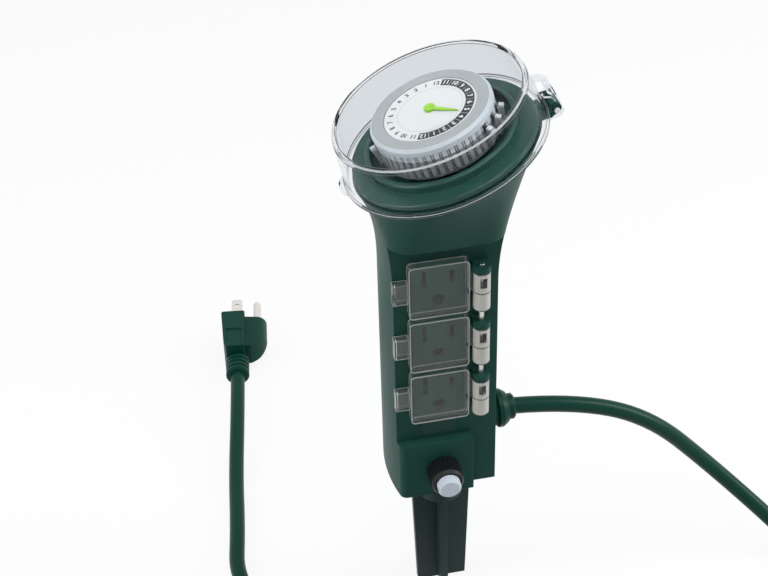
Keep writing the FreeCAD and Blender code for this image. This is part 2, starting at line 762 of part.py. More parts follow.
def rounded_outline(sketch, x0, x1, y0, y1, radius):
    """A rectangle with quarter-round corners."""
    points = [(x0 + radius, y0), (x1 - radius, y0), (x1, y0 + radius), (x1, y1 - radius),
              (x1 - radius, y1), (x0 + radius, y1), (x0, y1 - radius), (x0, y0 + radius)]
    outline(sketch, points, {1: radius, 3: radius, 5: radius, 7: radius})


def lid_pin(side):
    mark = "right" if side > 0 else "left"
    low = soil_gap + lug_top - socket_pitch * 2 - lug_thickness - running - knuckle_length + 1.0
    high = soil_gap + lug_top + 0.8
    node(rod(f"lid_pin_{mark}_shape", lid_pin_radius, high - low, (hinge_x * side, hinge_y * side, low)), f"lid_pin_{mark}")


# Head: platform, dome and dial, drawn about the dial's axis

def dial_platform():
    body = new_body("dial_platform")
    profile = sketch_on(body, "platform_profile", "XZ_Plane")
    round_off = 0.7
    hole = spindle_radius + snug
    floor = platform_level - 1.1
    inner = collar_radius - collar_wall
    outline(profile, [
        (hole, seat_level), (platform_radius - round_off, seat_level), (platform_radius, seat_level + round_off),
        (platform_radius, platform_level - round_off), (platform_radius - round_off, platform_level),
        (collar_radius, platform_level), (collar_radius, collar_level - round_off),
        (collar_radius - round_off, collar_level), (inner, collar_level), (inner, floor), (hole, floor)])
    turned(body, "platform_turned", profile)
    head_placement(body)
    node(body, "dial_platform")


def dome_lid():
    body = new_body("dome_lid")
    profile = sketch_on(body, "dome_profile", "XZ_Plane")
    rim = 1.4
    outline(profile, [
        (0.0, 0.0), (dome_radius + 0.4, 0.0), (dome_radius + 0.4, Size(rim, "1.4")), (dome_radius - 0.15, rim + 0.5),
        (dome_top_radius, dome_depth - dome_edge), (dome_top_radius - dome_edge, dome_depth), (0.0, dome_depth)],
        {4: dome_edge})
    turned(body, "dome_turned", profile)
    cheeks = ("near", 1), ("far", -1)
    out, level = dome_pin_out, dome_pin_level
    half = dome_lug_half_width + running + dome_cheek
    for name, side in cheeks:
        start = half - dome_cheek if side > 0 else -half
        cheek = sketch_on(body, f"dome_cheek_{name}", "YZ_Plane", start)
        outline(cheek, [
            (out - 8.0, level - 3.2), (out + 0.6, level - 3.2), (out + 2.8, level - 1.2), (out + 2.8, level + 1.5),
            (out + 2.0, level + 7.6), (out - 0.6, level + 10.7), (out - 8.0, level + 11.7)])
        outline(cheek, [
            (out - 3.4, level - 1.2), (out - 2.9, level + 1.4), (out - 1.0, level + 3.2), (out + 0.9, level + 3.6),
            (out - 0.2, level + 7.0), (out - 3.6, level + 8.6)])
        pad(body, f"dome_cheek_{name}_pad", cheek, dome_cheek)
    strip = sketch_on(body, "dome_strip_profile", "YZ_Plane")
    outline(strip, [(out + 2.5, level + 3.8), (out + 2.0, level + 7.6), (out - 0.6, level + 10.7),
                    (out - 1.4, level + 9.2), (out + 0.4, level + 6.9), (out + 0.9, level + 3.8)])
    pad(body, "dome_strip", strip, half * 2, both=True)
    tab = sketch_on(body, "dome_tab_outline", "XY_Plane")
    ring(tab, 0.0, -(dome_radius + dome_tab_reach - dome_tab_radius), dome_tab_radius)
    pad(body, "dome_tab", tab, Size(2.0, "2"))
    hollow = sketch_on(body, "dome_hollow_profile", "XZ_Plane")
    outline(hollow, [
        (0.0, -6.0), (dome_radius - dome_wall, -6.0), (dome_radius - dome_wall, Size(0.0, "0")),
        (dome_top_radius - dome_wall, dome_depth - dome_wall - 0.8),
        (dome_top_radius - dome_wall - 0.8, dome_depth - dome_wall), (0.0, dome_depth - dome_wall)])
    turned(body, "dome_hollow", hollow, "Groove")
    eye = sketch_on(body, "dome_eye", "YZ_Plane")
    ring(eye, out, level, dome_pin_radius + snug * 2)
    pocket(body, "dome_eye_bore", eye, half * 4, both=True)
    head_placement(body)
    node(body, "dome_lid")


def dome_pin():
    body = new_body("dome_hinge_pin")
    shaft = sketch_on(body, "dome_pin_round", "YZ_Plane")
    ring(shaft, dome_pin_out, dome_pin_level, dome_pin_radius)
    pad(body, "dome_pin_shaft", shaft, (dome_lug_half_width + running + dome_cheek + 0.3) * 2, both=True)
    head_placement(body)
    node(body, "dome_hinge_pin")


def dial_drum():
    """The turning drum: a grooved ring whose fins part the trippers."""
    body = new_body("dial_drum")
    profile = sketch_on(body, "drum_profile", "XZ_Plane")
    core = drum_radius - tripper_reach - 0.6
    label_floor = drum_level - label_sink - label_thickness
    web = 1.6
    outline(profile, [
        (spindle_radius + snug, drum_foot), (spindle_radius + 2.2, drum_foot), (spindle_radius + 2.2, label_floor - web),
        (core - 1.6, label_floor - web), (core - 1.6, drum_foot), (drum_radius - 0.4, drum_foot),
        (drum_radius - 0.4, drum_foot + 1.0), (core, drum_foot + 1.0), (core, drum_band_top),
        (drum_radius, drum_band_top), (drum_radius, drum_level - 1.4), (drum_radius - 1.3, drum_level),
        (label_radius + 0.2, drum_level), (label_radius + 0.2, label_floor), (spindle_radius + snug, label_floor)])
    turned(body, "drum_turned", profile)
    fin = sketch_on(body, "fin_outline", "XY_Plane", drum_foot + 1.0)
    outline(fin, [(core - 0.3, -0.3), (drum_radius - 0.3, -0.25), (drum_radius - 0.3, 0.25), (core - 0.3, 0.3)])
    blade = pad(body, "drum_fin", fin, drum_band_top - drum_foot - 1.0)
    doc.recompute()
    polar(body, "drum_fins", blade, tripper_count)
    head_placement(body)
    node(body, "dial_drum")


def trippers():
    """Slats between the fins. The few that are pulled out switch the sockets on."""
    step = 360.0 / tripper_count
    core = float(drum_radius - tripper_reach) - 0.6
    low = float(drum_foot) + 1.2
    tall = float(drum_band_top) - low - 0.2
    reach = float(tripper_reach)
    half = (core * math.radians(step) - 0.6) / 2 - 0.25
    pulled = {9: 4.0, 7: 4.2, 5: 4.0, 36: 3.0}
    slats = []
    for i in range(tripper_count):
        out = pulled.get(i, 0.0)
        short = 0.7 if out else 0.0
        slat = Part.makeBox(reach, half * 2, tall - 2 * short, V(core + 0.25 + out * 0.3, -half, low + short))
        if out:
            slat.rotate(V(core + 0.4, 0, low), V(0, 1, 0), out * 4.0)
        slat.rotate(V(0, 0, 0), V(0, 0, 1), step * (i + 0.5))
        slats.append(slat)
    made = solid("dial_trippers", Part.makeCompound(slats))
    head_placement(made)
    node(made, "dial_trippers")


def dial_face():
    body = new_body("dial_label")
    disc = sketch_on(body, "label_outline", "XY_Plane", drum_level - label_sink - label_thickness)
    ring(disc, 0.0, 0.0, label_radius)
    ring(disc, 0.0, 0.0, spindle_radius + snug * 2)
    pad(body, "label_disc", disc, label_thickness)
    head_placement(body)
    node(body, "dial_label")

    hand = new_body("dial_pointer")
    level = drum_level - label_sink + running
    hub = sketch_on(hand, "pointer_hub_outline", "XY_Plane", level)
    ring(hub, 0.0, 0.0, pointer_hub)
    pad(hand, "pointer_hub_disc", hub, pointer_thickness)
    needle = sketch_on(hand, "needle_outline", "XY_Plane", level)
    lean = math.radians(float(pointer_turn))
    root, tip = pointer_hub * 0.6, pointer_reach
    along, across = (math.sin(lean), math.cos(lean)), (math.cos(lean), -math.sin(lean))
    outline(needle, [(reach * along[0] + across[0] * off, reach * along[1] + across[1] * off)
                     for reach, off in ((root, -0.95), (root, 0.95), (tip, 0.2), (tip, -0.2))])
    pad(hand, "pointer_needle", needle, pointer_thickness * 0.7)
    head_placement(hand)
    node(hand, "dial_pointer")

    shaft = new_body("dial_spindle")
    profile = sketch_on(shaft, "spindle_profile", "XZ_Plane")
    foot = seat_level - movement_depth + 2.0
    shoulder = spindle_radius + 1.8
    floor = platform_level - 1.1
    outline(profile, [
        (0.0, foot), (spindle_radius, foot), (spindle_radius, floor), (shoulder, floor), (shoulder, drum_foot - running / 2),
        (spindle_radius, drum_foot - running / 2), (spindle_radius, level), (0.0, level)])
    turned(shaft, "spindle_turned", profile)
    head_placement(shaft)
    node(shaft, "dial_spindle")


def movement():
    body = new_body("timer_movement")
    case = sketch_on(body, "movement_outline", "XY_Plane", seat_level - movement_depth)
    ring(case, 0.0, 0.0, movement_radius)
    pad(body, "movement_case", case, movement_depth)
    shaft = sketch_on(body, "movement_hole", "XY_Plane", seat_level)
    ring(shaft, 0.0, 0.0, spindle_radius + snug)
    pocket(body, "movement_bore", shaft, movement_depth - 1.0)
    head_placement(body)
    node(body, "timer_movement")

    switch = new_body("timer_switch")
    plan = sketch_on(switch, "switch_outline", "XY_Plane", seat_level - movement_depth - switch_depth)
    outline(plan, [(-switch_length / 2, -switch_width), (switch_length / 2, -switch_width),
                   (switch_length / 2, Size(0.0, "0")), (-switch_length / 2, Size(0.0, "0"))])
    pad(switch, "switch_case", plan, switch_depth)
    head_placement(switch)
    node(switch, "timer_switch")


# Reset button

def reset_button():
    face = column_half_width
    y, z = breaker_y, soil_gap + breaker_z
    inside = face - wall
    half = breaker_side / 2
    case = box("breaker_case", (inside - breaker_depth, inside), (y - half, y + half), (z - half, z + half))
    neck = rod("breaker_thread", breaker_neck, wall + nut_length * 0.65, (inside - 0.5, y, z), "X")
    neck_end = face + nut_length * 0.65 - 0.5
    bore = rod("breaker_bush", plunger_radius + snug, Size(9.0, "9"), (neck_end - 8.0, y, z), "X")
    node(cut("breaker_shape", fuse("breaker_blank", [case, neck]), [bore]), "reset_breaker")

    body = new_body("nut_barrel_body")
    plan = sketch_on(body, "nut_outline", "YZ_Plane", face)
    ring(plan, y, z, nut_radius - 0.4)
    pad(body, "nut_barrel", plan, nut_length - 1.2)
    front = cone("nut_front", nut_radius - 0.1, nut_radius - 1.2, Size(1.4, "1.4"), (face + nut_length - 1.4, y, z), "X")
    ribs = []
    count = 30
    rib = Part.makeBox(float(nut_length) - 1.6, 0.9, 0.9, V(0, -0.45, 0))
    for i in range(count):
        copy = rib.copy()
        copy.translate(V(0.3, 0, float(nut_radius) - 0.9))
        copy.rotate(V(0, 0, 0), V(1, 0, 0), 360.0 / count * i)
        ribs.append(copy)
    knurl = solid("nut_knurl", Part.makeCompound(ribs))
    place(knurl, face, y, z)
    thread = rod("nut_bore", breaker_neck + snug, nut_length + 2.0, (face - 1.0, y, z), "X")
    counter = rod("nut_counterbore", cap_radius + running, nut_length, (neck_end + 0.3, y, z), "X")
    node(cut("breaker_nut_shape", fuse("nut_blank", [body, front, knurl]), [thread, counter]), "breaker_nut")

    cap_back = neck_end + cap_travel + 0.4
    front_end = face + cap_front
    button = rod("cap_barrel", cap_radius, front_end - cap_back - 1.2, (cap_back, y, z), "X")
    nose = cone("cap_nose", cap_radius, cap_radius - 1.1, Size(1.2, "1.2"), (front_end - 1.2, y, z), "X")
    stem = rod("cap_stem", plunger_radius, Size(7.0, "7"), (cap_back - 5.5, y, z), "X")
    node(fuse("reset_cap_shape", [button, nose, stem]), "reset_cap")


# Strain relief, cord and plug

def strain_relief():
    body = new_body("strain_relief")
    profile = sketch_on(body, "relief_profile", "XY_Plane")
    boss = gland_boss_end
    flange = boss + gland_flange
    bead = 1.2
    outline(profile, [
        (0.0, boss - 11.0), (gland_stem, boss - 11.0), (gland_stem, boss), (gland_flange_radius - 0.8, boss),
        (gland_flange_radius, boss + 0.8), (gland_flange_radius, flange - bead - 1.6),
        (gland_flange_radius - 1.0, flange - bead), (gland_ring_radius + 1.2, flange),
        (gland_ring_radius, flange + 0.6), (gland_ring_radius, gland_end - 0.9),
        (gland_ring_radius - 0.9, gland_end), (0.0, gland_end)])
    turned(body, "relief_turned", profile)
    place(body, 0.0, 0.0, soil_gap + gland_z)
    node(body, "strain_relief")


def tangent_arc(start, corner, end):
    """The arc from start to end whose two end tangents meet at the corner."""
    into = (corner - start).normalize()
    out = (end - corner).normalize()
    weight = math.sqrt(max((1 + into.dot(out)) / 2, 0))
    middle = (start + corner * (2 * weight) + end) / (2 + 2 * weight)
    return Part.Arc(start, middle, end).toShape()


def rounded_route(points):
    """Straight runs joined by arcs that use 0.45 of the shorter run beside each corner."""
    edges = []
    radii = []
    last = points[0]
    for i in range(1, len(points) - 1):
        before = points[i] - points[i - 1]
        after = points[i + 1] - points[i]
        trim = 0.45 * min(before.Length, after.Length)
        turn = before.getAngle(after)
        radii.append(trim / math.tan(turn / 2))
        start = points[i] - before.normalize() * trim
        end = points[i] + after.normalize() * trim
        edges.append(Part.LineSegment(last, start).toShape())
        edges.append(tangent_arc(start, points[i], end))
        last = end
    edges.append(Part.LineSegment(last, points[-1]).toShape())
    return Part.Wire(edges), radii


def tube(path, start, way):
    radius = float(cord_radius)
    ring_wire = Part.Wire(Part.Circle(start, way, radius).toShape())
    return Part.Wire(path).makePipeShell([ring_wire], True, False)


def biarc(p0, t0, p1, t1):
    """Two arcs that share a tangent, from p0 along t0 to p1 along t1."""
    gap = p1 - p0
    both = t0 + t1
    spread = 2 * (1 - t0.dot(t1))
    reach = gap.dot(both)
    d = (math.sqrt(reach * reach + spread * gap.dot(gap)) - reach) / spread
    q0 = p0 + t0 * d
    q1 = p1 - t1 * d
    joint = (q0 + q1) / 2
    return [tangent_arc(p0, q0, joint), tangent_arc(joint, q1, p1)]


COIL_CENTRE = V(87, -20, 0)
PLUG_WAY = V(-0.9903, 0.1389, 0)
RELIEF_END = V(-168, -82.6, 0)


def floor_level():
    return float(cord_radius) + 0.2


def coil_stations():
    """Half-turn stations of the coil: in on the floor, up in the reversal, out on top."""
    halves = 4 * coil_turns
    inner, step = float(coil_inner), float(coil_pitch) / 2
    low = floor_level()
    high = low + float(coil_layer)
    stations = []
    for k in range(halves + 1):
        away = halves / 2 - k if k <= halves / 2 + 1 else k - halves / 2 - 1.1
        radius = inner + step * away
        angle = -math.pi * k
        level = low if k <= halves // 2 else high
        stations.append((radius, angle, level))
    radius = stations[-1][0] + step / 2
    stations.append((radius, -math.pi * halves - math.pi / 2, high))
    return stations


def coil_point(station):
    radius, angle, level = station
    return COIL_CENTRE + V(radius * math.cos(angle), radius * math.sin(angle), level)


def coil_way(station):
    _, angle, _ = station
    return V(math.sin(angle), -math.cos(angle), 0)


def cord():
    low = floor_level()
    straight = float(cord_radius) * 2
    stations = coil_stations()
    coil_start = coil_point(stations[0])
    start_way = coil_way(stations[0])
    coil_end = coil_point(stations[-1])
    end_way = coil_way(stations[-1])
    entry = coil_start - start_way * straight
    leave = coil_end + end_way * straight

    gland = V(0, float(gland_end), float(soil_gap + gland_z))
    route_out = [gland, V(0, 66, 105), V(0, 107, 87), V(1, 143, 47), V(25, 186, low), V(75, 197, low),
                 V(118, 178, low), V(138, 133, low), V(entry.x + 3, 86, low), V(entry.x - 1, 36, low), entry]
    plug_height = float(plug_half_height)
    relief = V(RELIEF_END.x, RELIEF_END.y, plug_height)
    back = relief - PLUG_WAY * 30
    route_in = [leave, leave + V(-29, -1.5, 0), V(20, -89, low), V(-14, -105.6, low), V(-52, -99.4, low),
                V(-92, -94.8, low), back, relief]

    path_out, radii_out = rounded_route(route_out)
    path_in, radii_in = rounded_route(route_in)
    edges = [Part.LineSegment(entry, coil_start).toShape()]
    for one, two in zip(stations, stations[1:]):
        edges += biarc(coil_point(one), coil_way(one), coil_point(two), coil_way(two))
    edges.append(Part.LineSegment(coil_end, leave).toShape())
    path_coil = Part.Wire(edges)

    area = math.pi * float(cord_radius) ** 2
    total = 0.0
    for label, path, start, way in (("cord_out", path_out, gland, V(0, 1, 0)),
                                    ("cord_coil", path_coil, entry, start_way),
                                    ("cord_in", path_in, leave, end_way)):
        first = path.OrderedEdges[0]
        way = first.tangentAt(first.FirstParameter)
        shape = tube(path, start, way)
        total += path.Length
        print(label, "length", round(path.Length, 1), "volume share", round(shape.Volume / (area * path.Length), 4))
        node(solid(label, shape), label)
    print("cord length", round(total, 1))
    print("out radii", [round(r) for r in radii_out])
    print("in radii", [round(r) for r in radii_in])
    print("coil least gap to itself", round(least_gap(path_coil), 2))


def least_gap(path):
    """The least distance between the surfaces of turns that pass each other, on points."""
    points = path.discretize(Distance=4.0)
    least = 1e9
    apart = int(70 / 4)
    for i, one in enumerate(points):
        for two in points[i + apart:]:
            least = min(least, (one - two).Length)
    return least - 2 * float(cord_radius)


def plug_placement(item):
    """The plug lies on its flat side at the end of the cord, prongs away."""
    start = RELIEF_END + PLUG_WAY * float(plug_relief)
    angle = math.degrees(math.atan2(PLUG_WAY.y, PLUG_WAY.x))
    place(item, start.x, start.y, plug_half_height, FreeCAD.Rotation(V(0, 0, 1), angle))


def plug():
    body = new_body("plug_shell")
    plan = sketch_on(body, "plug_plan", "XY_Plane", -plug_half_height)
    back, waist = plug_back, plug_waist
    outline(plan, [(Size(0.0, "0"), -waist + 0.4), (plug_length - 1.0, -waist), (plug_length, -waist + 1.0),
                   (plug_length, back - 1.0), (plug_length - 1.0, back), (Size(3.0, "3"), back - 1.6),
                   (Size(0.0, "0"), back - 3.0)])
    pad(body, "plug_block", plan, plug_half_height * 2)
    earth = sketch_on(body, "plug_earth_outline", "YZ_Plane", Size(5.5, "5.5"))
    earth_y = -earth_drop
    wide = plug_earth_round
    outline(earth, [(earth_y, -wide), (Size(0.0, "0"), -wide - 1.0), (Size(0.0, "0"), wide + 1.0), (earth_y, wide)], {3: wide + 0.05})
    pad(body, "plug_earth_block", earth, plug_length - 5.5)
    nose = sketch_on(body, "plug_nose_cut", "XY_Plane")
    outer = earth_y - wide
    outline(nose, [(Size(4.0, "4"), outer - 2.0), (Size(19.0, "19"), outer - 2.0), (Size(19.0, "19"), outer),
                   (Size(5.0, "5"), -waist - 2.0), (Size(4.0, "4"), -waist - 1.0)], {2: -(plug_earth_round * 3)})
    pocket(body, "plug_nose", nose, plug_half_height * 4, both=True)
    for name, side in (("upper", 1), ("lower", -1)):
        level = plug_half_height - 0.8 if side > 0 else -plug_half_height
        grip = sketch_on(body, f"plug_grip_{name}", "XY_Plane", level)
        outline(grip, [(Size(2.5, "2.5"), -waist + 1.6), (plug_length * 0.5, -waist + 1.6),
                       (plug_length * 0.5, back - 2.6), (Size(2.5, "2.5"), back - 3.6)])
        pocket(body, f"plug_grip_{name}_cut", grip, Size(0.8, "0.8"), back=True)
    plug_placement(body)
    relief = new_body("plug_relief")
    profile = sketch_on(relief, "plug_relief_profile", "XY_Plane")
    core = plug_rib_radius - 1.6
    pitch = plug_relief / 4
    points = [(-plug_relief, 0.0)]
    for i in range(4):
        start = -plug_relief + pitch * i
        points += [(start, core), (start + 0.6, plug_rib_radius), (start + pitch - 1.1, plug_rib_radius), (start + pitch - 0.5, core)]
    points += [(Size(0.6, "0.6"), core), (Size(0.6, "0.6"), 0.0)]
    outline(profile, points)
    made = relief.newObject("PartDesign::Revolution", "plug_relief_turned")
    made.Profile = profile
    made.ReferenceAxis = (profile, ["H_Axis"])
    made.Angle = 360.0
    plug_placement(relief)
    node(fuse("plug_body_shape", [body, relief]), "plug_body")

    blades = []
    for name, side in (("upper", 1), ("lower", -1)):
        z = blade_spacing / 2 * side
        blade = new_body(f"plug_blade_{name}")
        flat = sketch_on(blade, f"blade_outline_{name}", "XY_Plane", z - blade_thickness / 2)
        end = plug_length + blade_length
        half = blade_width / 2
        outline(flat, [(plug_length, -half), (end - 1.2, -half), (end, -half + 1.2), (end, half - 1.2), (end - 1.2, half),
                       (plug_length, half)])
        ring(flat, end - 5.0, 0.0, blade_hole)
        pad(blade, f"blade_pad_{name}", flat, blade_thickness)
        plug_placement(blade)
        blades.append(blade)
    gather(blades, "plug_blades")

    pin = new_body("plug_earth_pin")
    profile = sketch_on(pin, "earth_pin_profile", "XZ_Plane")
    end = earth_pin_length
    radius = earth_pin_radius
    outline(profile, [(0.0, 0.0), (radius, 0.0), (radius, end - radius), (radius * 0.7, end - radius * 0.3), (0.0, end)])
    turned(pin, "earth_pin_turned", profile)
    start = RELIEF_END + PLUG_WAY * float(plug_relief + plug_length)
    side_way = V(PLUG_WAY.y, -PLUG_WAY.x, 0)
    at = start + side_way * float(earth_drop)
    angle = math.degrees(math.atan2(PLUG_WAY.y, PLUG_WAY.x))
    lie = FreeCAD.Rotation(V(0, 0, 1), angle).multiply(FreeCAD.Rotation(V(0, 1, 0), 90))
    place(pin, at.x, at.y, plug_half_height, lie)
    node(pin, "plug_earth_pin")


# Ground spike

def cross(half_y, half_x, level):
    """A plus-shaped section of the spike."""
    thick = float(spike_blade) / 2
    thick = min(thick, half_x * 0.6)
    corners = [(half_x, -thick), (half_x, thick), (thick, thick), (thick, half_y), (-thick, half_y), (-thick, thick),
               (-half_x, thick), (-half_x, -thick), (-thick, -thick), (-thick, -half_y), (thick, -half_y), (thick, -thick)]
    points = [V(x, y, level) for x, y in corners]
    return Part.makePolygon(points + [points[0]])


def spike():
    top = float(soil_gap)
    slope = math.tan(math.radians(float(spike_taper)))
    shoulder = -float(spike_point) + float(spike_shoulder)
    fall = (top - shoulder) * slope
    stages = [cross(float(spike_wing), float(spike_rib), top),
              cross(float(spike_wing) - fall, float(spike_rib) - fall * 0.6, shoulder),
              cross(0.9, 0.9, -float(spike_point))]
    ribs = solid("spike_ribs", Part.makeLoft(stages, True, True))
    boss = rod("spike_boss", spike_boss_radius, spike_boss_length, (0.0, 0.0, soil_gap - spike_boss_length))
    neck = rod("spike_stem", spike_neck, wall + 0.6, (0.0, 0.0, soil_gap - 0.3))
    foot = rod("spike_head", spike_neck + 2.4, Size(2.0, "2"), (0.0, 0.0, soil_gap + wall + 0.2))
    node(fuse("spike_shape", [ribs, boss, neck, foot]), "ground_spike")


housing()
for side in (1, -1):
    contacts(side)
    for number in range(3):
        lid(number, side)
    lid_pin(side)
dial_platform()
dome_lid()
dome_pin()
dial_drum()
trippers()
dial_face()
movement()
reset_button()
strain_relief()
cord()
plug()
spike()

doc.recompute()
for item in doc.Objects:
    for state in ("Invalid", "Error"):
        if state in item.State:
            raise RuntimeError(f"{item.Name} is {item.State}")
for item in nodes:
    if item.Shape.isNull() or not item.Shape.isValid():
        raise RuntimeError(f"{item.Label} has no valid shape")
os.makedirs("parts", exist_ok=True)
for item in nodes:
    item.Shape.exportStep(f"parts/{item.Label}.step")
    bounds = item.Shape.BoundBox
    print(item.Label, len(item.Shape.Solids), "solids", round(item.Shape.Volume), "mm3",
          [round(v, 1) for v in (bounds.XMin, bounds.XMax, bounds.YMin, bounds.YMax, bounds.ZMin, bounds.ZMax)])
print(len(nodes), "nodes")
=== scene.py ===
import math

import bmesh
import bpy
from mathutils import Matrix, Vector

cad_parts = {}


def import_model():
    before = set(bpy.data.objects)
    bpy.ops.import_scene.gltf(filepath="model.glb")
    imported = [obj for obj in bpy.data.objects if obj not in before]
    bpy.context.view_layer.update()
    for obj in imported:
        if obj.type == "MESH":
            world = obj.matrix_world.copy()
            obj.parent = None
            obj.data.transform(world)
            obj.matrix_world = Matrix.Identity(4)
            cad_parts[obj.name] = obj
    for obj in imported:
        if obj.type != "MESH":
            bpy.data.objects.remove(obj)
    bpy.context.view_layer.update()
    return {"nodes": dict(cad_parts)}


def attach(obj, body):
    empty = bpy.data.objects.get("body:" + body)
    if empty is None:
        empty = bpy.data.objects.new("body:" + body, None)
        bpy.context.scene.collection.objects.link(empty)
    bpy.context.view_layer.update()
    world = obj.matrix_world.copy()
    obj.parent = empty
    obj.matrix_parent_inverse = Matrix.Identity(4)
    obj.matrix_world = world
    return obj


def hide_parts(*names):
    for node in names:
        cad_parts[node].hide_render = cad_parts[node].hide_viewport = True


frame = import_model()
NODES = frame["nodes"]
MM = 0.001
FULL_TURN = 2 * math.pi

SOCKETS = (1, 2, 3)
SIDES = ("right", "left")

# The head's own axes start at the middle of the dome's rim: Z along the dial's axis, Y towards the hinge.
HEAD_TILT = math.radians(18.83)
HEAD = Matrix.Translation((0.0, 3.39 * MM, 263.25 * MM)) @ Matrix.Rotation(HEAD_TILT, 4, "X")
HEAD_UP = HEAD.to_3x3() @ Vector((0.0, 0.0, 1.0))
LABEL_TOP = 20.0 * MM
DRUM_HEIGHT = 25 * MM
BAND_FOOT = 13.6 * MM
BAND_TOP = 20.15 * MM


# Materials

def group(name, outputs, inputs=()):
    made = bpy.data.node_groups.new(name, "ShaderNodeTree")
    for label, kind in outputs:
        made.interface.new_socket(name=label, in_out="OUTPUT", socket_type=kind)
    for label, value in inputs:
        socket = made.interface.new_socket(name=label, in_out="INPUT", socket_type="NodeSocketFloat")
        socket.default_value = value
    return made


def grain_group():
    """The fine spark-eroded grain of moulded plastic: a bump, softened edges, and a slow drift of tone."""
    results = (("Normal", "NodeSocketVector"), ("Tone", "NodeSocketFloat"), ("Sheen", "NodeSocketFloat"))
    made = group("MouldedGrain", results, (("Scale", 900.0), ("Depth", 0.12), ("Edge", 0.4 * MM)))
    nodes, links = made.nodes, made.links
    inside = nodes.new("NodeGroupInput")
    outside = nodes.new("NodeGroupOutput")
    coords = nodes.new("ShaderNodeTexCoord")
    fine = nodes.new("ShaderNodeTexNoise")
    fine.inputs["Detail"].default_value = 3.0
    links.new(coords.outputs["Object"], fine.inputs["Vector"])
    links.new(inside.outputs["Scale"], fine.inputs["Scale"])
    bump = nodes.new("ShaderNodeBump")
    bump.inputs["Distance"].default_value = 0.2 * MM
    links.new(inside.outputs["Depth"], bump.inputs["Strength"])
    edge = nodes.new("ShaderNodeBevel")
    edge.samples = 6
    links.new(inside.outputs["Edge"], edge.inputs["Radius"])
    links.new(edge.outputs["Normal"], bump.inputs["Normal"])
    links.new(fine.outputs["Fac"], bump.inputs["Height"])
    slow = nodes.new("ShaderNodeTexNoise")
    slow.inputs["Scale"].default_value = 26.0
    slow.inputs["Detail"].default_value = 4.0
    links.new(coords.outputs["Object"], slow.inputs["Vector"])
    tone = nodes.new("ShaderNodeMapRange")
    tone.inputs["To Min"].default_value = 0.9
    tone.inputs["To Max"].default_value = 1.1
    links.new(slow.outputs["Fac"], tone.inputs["Value"])
    sheen = nodes.new("ShaderNodeMapRange")
    sheen.inputs["To Min"].default_value = -0.05
    sheen.inputs["To Max"].default_value = 0.05
    links.new(slow.outputs["Fac"], sheen.inputs["Value"])
    links.new(bump.outputs["Normal"], outside.inputs["Normal"])
    links.new(tone.outputs["Result"], outside.inputs["Tone"])
    links.new(sheen.outputs["Result"], outside.inputs["Sheen"])
    return made


GRAIN = grain_group()


def shader(name, color, roughness, **settings):
    """A Principled material with its plain values on the shader's own sockets."""
    made = bpy.data.materials.new(name)
    made.use_nodes = True
    surface = made.node_tree.nodes["Principled BSDF"]
    surface.inputs["Base Color"].default_value = (*color, 1.0)
    surface.inputs["Roughness"].default_value = roughness
    for label, value in settings.items():
        surface.inputs[label.replace("_", " ")].default_value = value
    return made


def add_grain(material, scale, depth, edge):
    """Roughens a material with the moulded grain and gives back the grain's node."""
    nodes, links = material.node_tree.nodes, material.node_tree.links
    grain = nodes.new("ShaderNodeGroup")
    grain.node_tree = GRAIN
    grain.inputs["Scale"].default_value = scale
    grain.inputs["Depth"].default_value = depth
    grain.inputs["Edge"].default_value = edge
    links.new(grain.outputs["Normal"], nodes["Principled BSDF"].inputs["Normal"])
    return grain


def moulded(name, color, roughness, scale=900.0, depth=0.12, edge=0.4 * MM, **settings):
    """Plastic or plated metal with a moulded grain."""
    made = shader(name, color, roughness, **settings)
    nodes, links = made.node_tree.nodes, made.node_tree.links
    surface = nodes["Principled BSDF"]
    grain = add_grain(made, scale, depth, edge)
    tint = nodes.new("ShaderNodeMix")
    tint.data_type = "RGBA"
    tint.blend_type = "MULTIPLY"
    tint.inputs["Factor"].default_value = 1.0
    tint.inputs["A"].default_value = (*color, 1.0)
    links.new(grain.outputs["Tone"], tint.inputs["B"])
    links.new(tint.outputs["Result"], surface.inputs["Base Color"])
    rough = nodes.new("ShaderNodeMath")
    rough.operation = "ADD"
    rough.inputs[0].default_value = roughness
    links.new(grain.outputs["Sheen"], rough.inputs[1])
    links.new(rough.outputs["Value"], surface.inputs["Roughness"])
    return made


def clear(name, color, roughness, through=1.0, scale=500.0, depth=0.02, **settings):
    """A clear moulding whose faces carry a faint ripple."""
    made = shader(name, color, roughness, Transmission_Weight=through, **settings)
    add_grain(made, scale, depth, 0.2 * MM)
    return made


